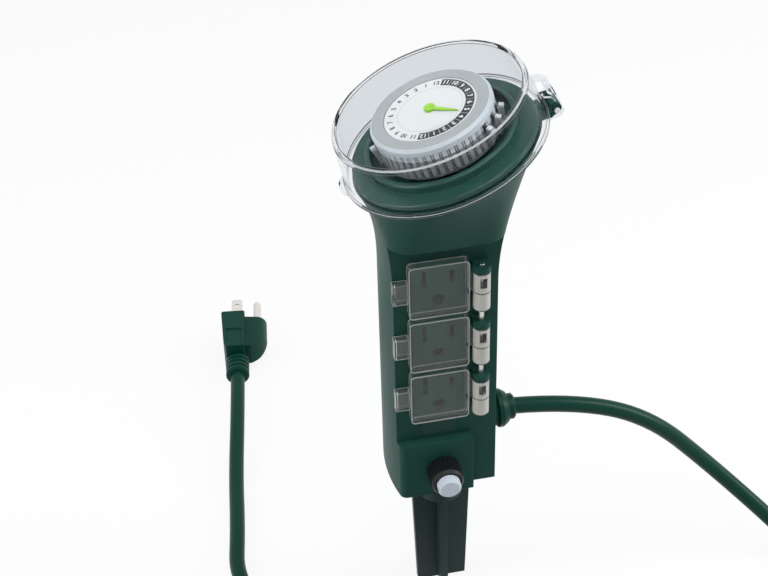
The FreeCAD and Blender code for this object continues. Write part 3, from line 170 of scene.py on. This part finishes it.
def drum_plastic(name, foot):
    """The drum's printed grey top; its pale edge band, partly the drum's own paler edge and partly a painted
    highlight for the light the edge catches from the front; and the darker foot of the given colour below it.
    """
    made = moulded(name, (1.0, 1.0, 1.0), 0.4, depth=0.08)
    nodes, links = made.node_tree.nodes, made.node_tree.links
    coords = nodes.new("ShaderNodeTexCoord")
    shifted = nodes.new("ShaderNodeVectorMath")
    shifted.operation = "SUBTRACT"
    shifted.inputs[1].default_value = HEAD.translation
    links.new(coords.outputs["Object"], shifted.inputs[0])
    level = nodes.new("ShaderNodeVectorMath")
    level.operation = "DOT_PRODUCT"
    level.inputs[1].default_value = HEAD_UP
    links.new(shifted.outputs["Vector"], level.inputs[0])
    share = nodes.new("ShaderNodeMapRange")
    share.inputs["From Max"].default_value = DRUM_HEIGHT
    links.new(level.outputs["Value"], share.inputs["Value"])
    bands = nodes.new("ShaderNodeValToRGB")
    bands.color_ramp.interpolation = "CONSTANT"
    bands.color_ramp.elements[0].color = (*foot, 1.0)
    # The pale band: partly the drum's own colour, partly a painted highlight.
    bands.color_ramp.elements[1].position = BAND_FOOT / DRUM_HEIGHT
    bands.color_ramp.elements[1].color = (0.5, 0.53, 0.55, 1.0)
    top = bands.color_ramp.elements.new(BAND_TOP / DRUM_HEIGHT)
    top.color = (0.35, 0.37, 0.365, 1.0)
    links.new(share.outputs["Result"], bands.inputs["Fac"])
    links.new(bands.outputs["Color"], next(n for n in nodes if n.bl_idname == "ShaderNodeMix").inputs["A"])
    return made


GREEN = moulded("green_shell", (0.013, 0.057, 0.045), 0.4, edge=1.2 * MM, IOR=1.16)
GREEN_PLATE = moulded("green_plate", (0.023, 0.063, 0.054), 0.5, IOR=1.17)
GREEN_SPIKE = moulded("green_spike", (0.02, 0.042, 0.039), 0.45, edge=0.6 * MM, IOR=1.25)
GREEN_HEAD = moulded("green_platform", (0.015, 0.06, 0.047), 0.26, depth=0.03, edge=0.8 * MM, IOR=1.38)
CORD = moulded("green_cord", (0.002, 0.038, 0.025), 0.3, scale=300.0, depth=0.08, IOR=1.22)
PLUG = moulded("green_plug", (0.003, 0.041, 0.028), 0.34, scale=700.0, IOR=1.2)
DOME = clear("clear_dome", (0.84, 0.86, 0.88), 0.0, IOR=1.08)
LID = clear("clear_lid", (0.78, 0.81, 0.8), 0.02, through=0.967, scale=120.0, depth=0.004, IOR=1.2)
# Painted highlight: the pale rims along the clear lids' edges.
LID_EDGE_HIGHLIGHT = moulded("painted_lid_edge_highlight", (0.52, 0.53, 0.5), 0.2, depth=0.05, Transmission_Weight=0.2, IOR=1.3)
CAP = moulded("frosted_cap", (0.6, 0.66, 0.73), 0.35, depth=0.05, Transmission_Weight=0.15, IOR=1.3)
# Painted shade: the dark lines that the dome's edges show by refraction.
DOME_EDGE_SHADE = moulded("painted_dome_edge_shade", (0.16, 0.165, 0.16), 0.3, depth=0.03, Transmission_Weight=0.3, IOR=1.2)
# Painted highlight: the pale sheen on the dome's shoulder and foot.
SHEEN = clear("clear_sheen", (0.8, 0.83, 0.85), 0.25, through=0.6, IOR=1.05)
FROST = moulded("frosted_skin", (0.62, 0.61, 0.56), 0.35, scale=1100.0, depth=1.0,
                Transmission_Weight=0.25, IOR=1.3)
# Both drum materials carry the pale band, which is partly a painted highlight.
RING = drum_plastic("ring_grey", (0.15, 0.16, 0.165))
LINE_GREY = moulded("line_grey", (0.3, 0.3, 0.3), 0.5, depth=0.03)
SLATS = drum_plastic("slat_grey", (0.25, 0.265, 0.265))
WHITE = moulded("label_white", (0.68, 0.68, 0.665), 0.5, depth=0.03)
BLACK_INK = moulded("ink_black", (0.022, 0.024, 0.026), 0.5, depth=0.03)
WHITE_INK = moulded("ink_white", (0.8, 0.82, 0.83), 0.5, depth=0.03)
LIME = moulded("pointer_lime", (0.3, 0.62, 0.03), 0.35, depth=0.03)
BLACK = moulded("nut_black", (0.006, 0.007, 0.008), 0.4, Specular_IOR_Level=0.25)
DARK = moulded("case_dark", (0.04, 0.042, 0.042), 0.5)
NICKEL = moulded("nickel", (0.72, 0.69, 0.65), 0.3, scale=200.0, depth=0.05, Metallic=0.6)
STEEL = moulded("steel", (0.62, 0.62, 0.6), 0.3, scale=300.0, depth=0.06, Metallic=1.0)
SCREW = moulded("screw_steel", (0.22, 0.22, 0.21), 0.35, scale=300.0, depth=0.06, Metallic=1.0)
# The contacts are painted near black: painted shade for the dark inside of the socket slots.
BRASS_IN_SHADE = moulded("brass", (0.011, 0.014, 0.012), 0.7, scale=300.0, depth=0.06, Specular_IOR_Level=0.05)

LOOKS = {
    "ground_spike": GREEN_SPIKE, "dial_platform": GREEN_HEAD, "housing_screws": SCREW, "dome_hinge_pin": STEEL,
    "dome_lid": DOME, "dial_drum": RING, "dial_trippers": SLATS, "dial_label": WHITE, "dial_pointer": LIME,
    "dial_spindle": WHITE, "timer_movement": DARK, "timer_switch": DARK, "reset_breaker": BLACK,
    "breaker_nut": BLACK, "reset_cap": CAP, "strain_relief": CORD, "plug_body": PLUG,
    "plug_blades": NICKEL, "plug_earth_pin": NICKEL,
}
for side in SIDES:
    LOOKS[f"housing_{side}"] = GREEN
    LOOKS[f"socket_plate_{side}"] = GREEN_PLATE
    LOOKS[f"lid_pin_{side}"] = STEEL
    for kind in ("earth", "neutral", "live"):
        LOOKS[f"{kind}_contact_{side}"] = BRASS_IN_SHADE
    for number in SOCKETS:
        LOOKS[f"lid_{side}_{number}"] = LID


def dress(obj, material):
    obj.data.materials.clear()
    obj.data.materials.append(material)


for name, material in LOOKS.items():
    if name in NODES:
        dress(NODES[name], material)


# Pieces

def piece(name, mesh, material, body):
    made = bpy.data.objects.new(name, mesh)
    bpy.context.scene.collection.objects.link(made)
    dress(made, material)
    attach(made, body)
    return made


def mesh_from(bm, name):
    bmesh.ops.recalc_face_normals(bm, faces=list(bm.faces))
    made = bpy.data.meshes.new(name)
    bm.to_mesh(made)
    bm.free()
    return made


# The dial's printed hours

def turned(bm, axes, outline, start=0.0, angle=FULL_TURN, steps=128):
    """A closed outline of radius and level, turned about the given axes' Z: a ring, or a piece of one."""
    begin = axes @ Matrix.Rotation(start, 4, "Z")
    face = bm.faces.new([bm.verts.new(begin @ Vector((r, 0.0, level))) for r, level in outline])
    geom = [*face.verts, *face.edges]
    whole = angle >= FULL_TURN
    if whole:
        bmesh.ops.delete(bm, geom=[face], context="FACES_ONLY")
    else:
        geom.append(face)
    upward = axes.to_3x3() @ Vector((0.0, 0.0, 1.0))
    bmesh.ops.spin(bm, geom=geom, cent=axes.translation, axis=upward, dvec=(0.0, 0.0, 0.0), angle=angle,
                   steps=steps, use_merge=whole, use_normal_flip=False, use_duplicate=False)


def sector(bm, axes, inner, outer, start, angle, steps, low, high):
    """A flat or upright annular sector."""
    turned(bm, axes, ((inner, low), (outer, low), (outer, high), (inner, high)), start, angle, steps)


def digits(bm, text, radius, angle, height, level, thick):
    """A number whose top points away from the dial's centre."""
    curve = bpy.data.curves.new("digits", "FONT")
    curve.body = text
    curve.size = height
    curve.align_x = "CENTER"
    curve.align_y = "CENTER"
    curve.extrude = thick / 2
    curve.offset = 0.07 * MM
    temporary = bpy.data.objects.new("digits", curve)
    bpy.context.scene.collection.objects.link(temporary)
    bpy.context.view_layer.update()
    graph = bpy.context.evaluated_depsgraph_get()
    flat = bpy.data.meshes.new_from_object(temporary.evaluated_get(graph))
    spot = Matrix.Translation((radius * math.cos(angle), radius * math.sin(angle), level + thick / 2))
    flat.transform(HEAD @ spot @ Matrix.Rotation(angle - math.pi / 2, 4, "Z"))
    bm.from_mesh(flat)
    bpy.data.meshes.remove(flat)
    bpy.data.objects.remove(temporary)
    bpy.data.curves.remove(curve)


HOURS = 24
NIGHT_HOURS = 12
HOUR_STEP = FULL_TURN / HOURS
FIRST_HOUR = math.radians(-30.5)
CELL_GAP = 0.006
CELL_INNER = 15.9 * MM
CELL_OUTER = 19.9 * MM
DIGIT_RADIUS = 17.8 * MM
DIGIT_HEIGHT = 3.3 * MM
INK = 0.03 * MM
INK_FOOT = LABEL_TOP + 0.01 * MM


def dial_print():
    """Black cells with white numbers for the night, black numbers for the day, and a fine ring inside."""
    night = bmesh.new()
    day_digits = bmesh.new()
    night_digits = bmesh.new()
    for hour in range(HOURS):
        start = FIRST_HOUR + HOUR_STEP * hour
        middle = start + HOUR_STEP / 2
        text = str(hour % 12 or 12)
        if hour < NIGHT_HOURS:
            sector(night, HEAD, CELL_INNER, CELL_OUTER, start + CELL_GAP, HOUR_STEP - 2 * CELL_GAP, 4,
                   INK_FOOT, INK_FOOT + 0.04 * MM)
            digits(night_digits, text, DIGIT_RADIUS, middle, DIGIT_HEIGHT, INK_FOOT + 0.05 * MM, INK)
        else:
            digits(day_digits, text, DIGIT_RADIUS, middle, DIGIT_HEIGHT, INK_FOOT + 0.01 * MM, INK)
    fine = bmesh.new()
    sector(fine, HEAD, 14.5 * MM, 14.62 * MM, 0.0, FULL_TURN, 96, INK_FOOT, INK_FOOT + 0.02 * MM)
    piece("hours_night", mesh_from(night, "hours_night"), BLACK_INK, "dial")
    piece("digits_day", mesh_from(day_digits, "digits_day"), BLACK_INK, "dial")
    piece("digits_night", mesh_from(night_digits, "digits_night"), WHITE_INK, "dial")
    piece("label_line", mesh_from(fine, "label_line"), LINE_GREY, "dial")


dial_print()


# Painted highlights and painted shade lines along the clear dome's edges

SHOULDER_RADIUS = 42.05 * MM
SHOULDER_LEVEL = 22.06 * MM
SHOULDER_ROUNDING = 1.84 * MM
SHEEN_DEPTH = 0.05 * MM
LINE_HALF = 0.11 * MM


def dome_edges():
    """Painted highlights on the dome's rounded shoulder and its foot, and thin dark lines of painted shade at
    the shoulder's and the foot's corners, where the clear plastic reflects and bends the light.
    """
    bm = bmesh.new()
    arc = [math.radians(degrees) for degrees in (30, 40, 50, 60)]
    outer = [(SHOULDER_ROUNDING, a) for a in arc]
    inner = [(SHOULDER_ROUNDING - SHEEN_DEPTH, a) for a in reversed(arc)]
    corners = outer + inner
    shoulder = [(SHOULDER_RADIUS + r * math.cos(a), SHOULDER_LEVEL + r * math.sin(a)) for r, a in corners]
    turned(bm, HEAD, shoulder)
    sector(bm, HEAD, 46.68 * MM, 46.74 * MM, 0.0, FULL_TURN, 128, 0.9 * MM, 1.45 * MM)
    piece("dome_sheen", mesh_from(bm, "dome_sheen"), SHEEN, "dome")
    lines = bmesh.new()
    for radius, level in ((41.7, 22.3), (43.86, 21.85), (41.85, 23.8), (46.66, 0.1), (46.12, 2.0)):
        sector(lines, HEAD, radius * MM - LINE_HALF, radius * MM + LINE_HALF, 0.0, FULL_TURN, 128,
               level * MM - LINE_HALF, level * MM + LINE_HALF)
    piece("painted_dome_shade_lines", mesh_from(lines, "painted_dome_shade_lines"), DOME_EDGE_SHADE, "dome")


dome_edges()


# Painted highlights on the edges of the clear lids

def rim(bm, x, depth, low, high, corner, width):
    """A rounded rectangular frame that stands on the plane at x."""
    start = bmesh.new()
    spots = ((low[0], low[1]), (high[0], low[1]), (high[0], high[1]), (low[0], high[1]))
    face = start.faces.new([start.verts.new((x, y, z)) for y, z in spots])
    bmesh.ops.bevel(start, geom=list(start.verts), offset=corner, segments=4, profile=0.5, affect="VERTICES",
                    material=-1)
    inner = bmesh.ops.inset_region(start, faces=list(start.faces), thickness=width, use_even_offset=True,
                                   use_boundary=True)
    ring = set(inner["faces"])
    bmesh.ops.delete(start, geom=[f for f in start.faces if f not in ring], context="FACES")
    grown = bmesh.ops.extrude_face_region(start, geom=list(start.faces), use_keep_orig=True)
    front = [v for v in grown["geom"] if isinstance(v, bmesh.types.BMVert)]
    bmesh.ops.translate(start, verts=front, vec=(depth, 0, 0))
    join(bm, start)


def join(bm, other):
    flat = bpy.data.meshes.new("join")
    other.to_mesh(flat)
    other.free()
    bm.from_mesh(flat)
    bpy.data.meshes.remove(flat)


def bars(bm, low, high, thick):
    """The edges of a box as thin bars."""
    start = bmesh.new()
    bmesh.ops.create_cube(start, size=1.0)
    bmesh.ops.scale(start, verts=list(start.verts), vec=[b - a for a, b in zip(low, high)])
    bmesh.ops.translate(start, verts=list(start.verts), vec=[(a + b) / 2 for a, b in zip(low, high)])
    bmesh.ops.wireframe(start, faces=list(start.faces), thickness=thick, use_replace=True,
                        use_even_offset=True)
    join(bm, start)


LID_PITCH = 30.91 * MM
LID_TOP = 216.77 * MM
LID_HEIGHT = 28.27 * MM
LID_BACK = 18.2 * MM
LID_FRONT = 22.82 * MM
LID_LOW_Y = -18.6 * MM
LID_HIGH_Y = 8.95 * MM
LID_CORNER = 2.0 * MM
TAB_LOW_Y = -25.58 * MM
TAB_HIGH_Y = -19.0 * MM
TAB_HALF = 5.27 * MM
PROUD = 0.04 * MM


def lid_edges(side, number):
    """Painted highlights along the rims of a lid's tray, front and back, and along the edges of its pull tab.
    """
    top = LID_TOP - LID_PITCH * (number - 1)
    foot = top - LID_HEIGHT
    middle = (top + foot) / 2
    low = (LID_LOW_Y, foot - PROUD)
    high = (LID_HIGH_Y, top + PROUD)
    bm = bmesh.new()
    rim(bm, LID_FRONT - 0.3 * MM, 0.33 * MM, low, high, LID_CORNER, 0.42 * MM)
    rim(bm, LID_BACK, 0.35 * MM, low, high, LID_CORNER, 0.4 * MM)
    tab_low = (LID_BACK - 0.02 * MM, TAB_LOW_Y, middle - TAB_HALF)
    tab_high = (LID_BACK + 4.02 * MM, TAB_HIGH_Y, middle + TAB_HALF)
    bars(bm, tab_low, tab_high, 0.34 * MM)
    if side == "left":
        bmesh.ops.rotate(bm, verts=list(bm.verts), cent=(0, 0, 0), matrix=Matrix.Rotation(math.pi, 3, "Z"))
    name = f"lid_edges_{side}_{number}"
    piece(name, mesh_from(bm, name), LID_EDGE_HIGHLIGHT, f"lid_{side}_{number}")


KNUCKLE_X = 22.07 * MM
KNUCKLE_Y = 14.56 * MM
KNUCKLE_TOP = 210.08 * MM
KNUCKLE_LENGTH = 20.1 * MM
SKIN_INNER = 3.91 * MM
SKIN_OUTER = 3.94 * MM
WINDOW_TOP = 1.9 * MM
WINDOW_FOOT = 7.2 * MM
WINDOW_HALF = 0.4


def knuckle_frost(side, number):
    """The rough, milky skin of a lid's hinge knuckle, open at its window and at a fine groove."""
    top = KNUCKLE_TOP - LID_PITCH * (number - 1)
    foot = top - KNUCKLE_LENGTH
    axes = Matrix.Translation((KNUCKLE_X, KNUCKLE_Y, 0.0))
    if side == "left":
        axes = Matrix.Rotation(math.pi, 4, "Z") @ axes
    bm = bmesh.new()
    for low, high in ((foot + 0.5 * MM, top - 10.6 * MM), (top - 10.1 * MM, top - WINDOW_FOOT),
                      (top - WINDOW_TOP, top - 0.2 * MM)):
        sector(bm, axes, SKIN_INNER, SKIN_OUTER, 0.0, FULL_TURN, 32, low, high)
    sector(bm, axes, SKIN_INNER, SKIN_OUTER, WINDOW_HALF, FULL_TURN - 2 * WINDOW_HALF, 32,
           top - WINDOW_FOOT, top - WINDOW_TOP)
    name = f"knuckle_frost_{side}_{number}"
    piece(name, mesh_from(bm, name), FROST, f"lid_{side}_{number}")


for side in SIDES:
    for number in SOCKETS:
        lid_edges(side, number)
        knuckle_frost(side, number)


# The cord: one line from the strain relief, through the coil that is put away, to the plug

CORD_RADIUS = 4.1
LOW = CORD_RADIUS + 0.2
LAYER = 8.8
PITCH = 8.75
COIL_INNER = 34.9
COIL_CENTRE = Vector((87.0, -20.0, 0.0))
HALF_TURNS = 8
PLUG_WAY = Vector((-0.9903, 0.1389, 0.0))
RELIEF_END = Vector((-168.0, -82.6, 12.0))


def coil_radius(k):
    """The coil's radius after k half turns: inwards on the floor, outwards on top."""
    step = PITCH / 2
    middle = HALF_TURNS / 2
    stations = []
    for i in range(HALF_TURNS + 2):
        rings = middle - i if i <= middle + 1 else i - middle - 1.1
        stations.append(COIL_INNER + step * rings)
    low = min(int(k), HALF_TURNS)
    return stations[low] + (stations[low + 1] - stations[low]) * (k - low)


def coil_point(k, spread=1.0):
    """A point of the coil after k half turns: the second layer climbs onto the first in one half turn."""
    angle = -math.pi * k
    climb = min(max(k - HALF_TURNS / 2, 0.0), 1.0)
    height = LOW + LAYER * climb * climb * (3 - 2 * climb)
    radius = coil_radius(k) * spread
    return COIL_CENTRE + Vector((radius * math.cos(angle), radius * math.sin(angle), height))


def cord_points():
    """The cord's control points, in millimetres, from the strain relief to the plug."""
    entry = coil_point(0.0) + Vector((0.0, CORD_RADIUS * 2, 0.0))
    leave = coil_point(HALF_TURNS + 0.5) + Vector((-CORD_RADIUS * 2, 0.0, 0.0))
    out = [Vector(p) for p in (
        (0, 37, 108), (0, 66, 105), (0, 107, 87), (1, 143, 47), (25, 186, LOW), (75, 197, LOW),
        (118, 178, LOW), (138, 133, LOW), (entry.x + 3, 86, LOW), (entry.x - 1, 36, LOW))]
    back = RELIEF_END - PLUG_WAY * 30
    into = [leave, leave + Vector((-29, -1.5, 0)), Vector((20, -89, LOW)), Vector((-14, -105.6, LOW)),
            Vector((-52, -99.4, LOW)), Vector((-92, -94.8, LOW)), back, RELIEF_END]
    turns = 16
    wound = [coil_point(i / turns * 2, 1.012) for i in range(1, int((HALF_TURNS + 0.5) / 2 * turns))]
    return out + [entry] + wound + into


def cord():
    points = [p * MM for p in cord_points()]
    curve = bpy.data.curves.new("cord", "CURVE")
    curve.dimensions = "3D"
    line = curve.splines.new("NURBS")
    line.points.add(len(points) - 1)
    for point, place in zip(line.points, points):
        point.co = (*place, 1.0)
    line.order_u = 3
    line.use_endpoint_u = True
    line.resolution_u = 8
    curve.bevel_depth = CORD_RADIUS * MM
    curve.bevel_resolution = 6
    curve.use_fill_caps = True
    made = bpy.data.objects.new("cord", curve)
    bpy.context.scene.collection.objects.link(made)
    dress(made, CORD)
    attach(made, "stake")
    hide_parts("cord_out", "cord_coil", "cord_in")
    return made


cord()


# Floor, light and camera

def seen_directly(nodes, links):
    """One for a ray that comes from the camera, through glass or from a mirroring surface."""
    path = nodes.new("ShaderNodeLightPath")
    straight = nodes.new("ShaderNodeMath")
    straight.operation = "MAXIMUM"
    links.new(path.outputs["Is Camera Ray"], straight.inputs[0])
    links.new(path.outputs["Is Transmission Ray"], straight.inputs[1])
    mirrored = nodes.new("ShaderNodeMath")
    mirrored.operation = "MAXIMUM"
    links.new(straight.outputs["Value"], mirrored.inputs[0])
    links.new(path.outputs["Is Glossy Ray"], mirrored.inputs[1])
    return mirrored.outputs["Value"]


FLOOR_SHARE = 0.88
ROOM_STRENGTH = 0.22


def floor():
    """A pale floor that glows white where it is seen and keeps the object's shadow."""
    bm = bmesh.new()
    bmesh.ops.create_grid(bm, x_segments=1, y_segments=1, size=6.0)
    made = bpy.data.objects.new("floor", mesh_from(bm, "floor"))
    bpy.context.scene.collection.objects.link(made)
    paint = bpy.data.materials.new("floor")
    paint.use_nodes = True
    nodes, links = paint.node_tree.nodes, paint.node_tree.links
    nodes.clear()
    matte = nodes.new("ShaderNodeBsdfDiffuse")
    matte.inputs["Color"].default_value = (0.86, 0.87, 0.88, 1.0)
    glow = nodes.new("ShaderNodeEmission")
    glow.inputs["Color"].default_value = (1.0, 1.0, 1.0, 1.0)
    share = nodes.new("ShaderNodeMath")
    share.operation = "MULTIPLY"
    share.inputs[1].default_value = FLOOR_SHARE
    links.new(seen_directly(nodes, links), share.inputs[0])
    mix = nodes.new("ShaderNodeMixShader")
    links.new(share.outputs[0], mix.inputs["Fac"])
    links.new(matte.outputs[0], mix.inputs[1])
    links.new(glow.outputs[0], mix.inputs[2])
    surface = nodes.new("ShaderNodeOutputMaterial")
    links.new(mix.outputs[0], surface.inputs["Surface"])
    made.data.materials.append(paint)


def world():
    """A dim, slightly cool room, white where it is seen."""
    made = bpy.data.worlds.new("studio")
    bpy.context.scene.world = made
    made.use_nodes = True
    nodes, links = made.node_tree.nodes, made.node_tree.links
    nodes.clear()
    room = nodes.new("ShaderNodeBackground")
    room.inputs["Color"].default_value = (0.92, 0.96, 1.0, 1.0)
    room.inputs["Strength"].default_value = ROOM_STRENGTH
    white = nodes.new("ShaderNodeBackground")
    white.inputs["Color"].default_value = (1.0, 1.0, 1.0, 1.0)
    white.inputs["Strength"].default_value = 1.0
    mix = nodes.new("ShaderNodeMixShader")
    links.new(seen_directly(nodes, links), mix.inputs["Fac"])
    links.new(room.outputs[0], mix.inputs[1])
    links.new(white.outputs[0], mix.inputs[2])
    surface = nodes.new("ShaderNodeOutputWorld")
    links.new(mix.outputs[0], surface.inputs["Surface"])


COLUMN_MIDDLE = Vector((0.0, 0.0, 0.2))


def softbox(name, place, width, height, power):
    """A broad rectangular lamp that faces the middle of the column."""
    lamp = bpy.data.lights.new(name, "AREA")
    lamp.shape = "RECTANGLE"
    lamp.size = width
    lamp.size_y = height
    lamp.energy = power
    made = bpy.data.objects.new(name, lamp)
    made.location = place
    made.rotation_euler = (COLUMN_MIDDLE - Vector(place)).to_track_quat("-Z", "Y").to_euler()
    bpy.context.scene.collection.objects.link(made)


PICTURE_WIDTH = 768
FOCAL_PIXELS = 1725.12
SENSOR = 36.0
AZIMUTH = math.radians(79.29)
ELEVATION = math.radians(37.33)
ROLL = math.radians(-1.82)
AIM = Vector((0.0, 0.0, 80.0 * MM))
DISTANCE = 852.96 * MM
RIGHT_SHIFT = -27.62 * MM
UP_SHIFT = 84.8 * MM


def camera():
    """Looks down on the column from its right side, a little from the front."""
    level = math.cos(ELEVATION)
    back = Vector((math.sin(AZIMUTH) * level, -math.cos(AZIMUTH) * level, math.sin(ELEVATION)))
    across = Vector((math.cos(AZIMUTH), math.sin(AZIMUTH), 0.0))
    upward = back.cross(across)
    right = across * math.cos(ROLL) + upward * math.sin(ROLL)
    up = upward * math.cos(ROLL) - across * math.sin(ROLL)
    place = AIM + back * DISTANCE + right * RIGHT_SHIFT + up * UP_SHIFT
    lens = bpy.data.cameras.new("camera")
    lens.sensor_fit = "HORIZONTAL"
    lens.sensor_width = SENSOR
    lens.lens = FOCAL_PIXELS / PICTURE_WIDTH * SENSOR
    lens.clip_start = 0.01
    made = bpy.data.objects.new("camera", lens)
    made.matrix_world = Matrix((
        (right.x, up.x, back.x, place.x),
        (right.y, up.y, back.y, place.y),
        (right.z, up.z, back.z, place.z),
        (0.0, 0.0, 0.0, 1.0)))
    bpy.context.scene.collection.objects.link(made)
    bpy.context.scene.camera = made


floor()
world()
softbox("key", (0.1, -1.0, 0.7), width=0.5, height=0.9, power=6.5)
softbox("fill", (0.15, 1.0, 0.7), width=0.5, height=0.9, power=9.5)
softbox("top", (0.25, 0.0, 1.3), width=0.9, height=0.9, power=8.5)
camera()
bpy.context.scene.view_settings.view_transform = "Standard"
bpy.context.scene.cycles.max_bounces = 24
bpy.context.scene.cycles.transmission_bounces = 24
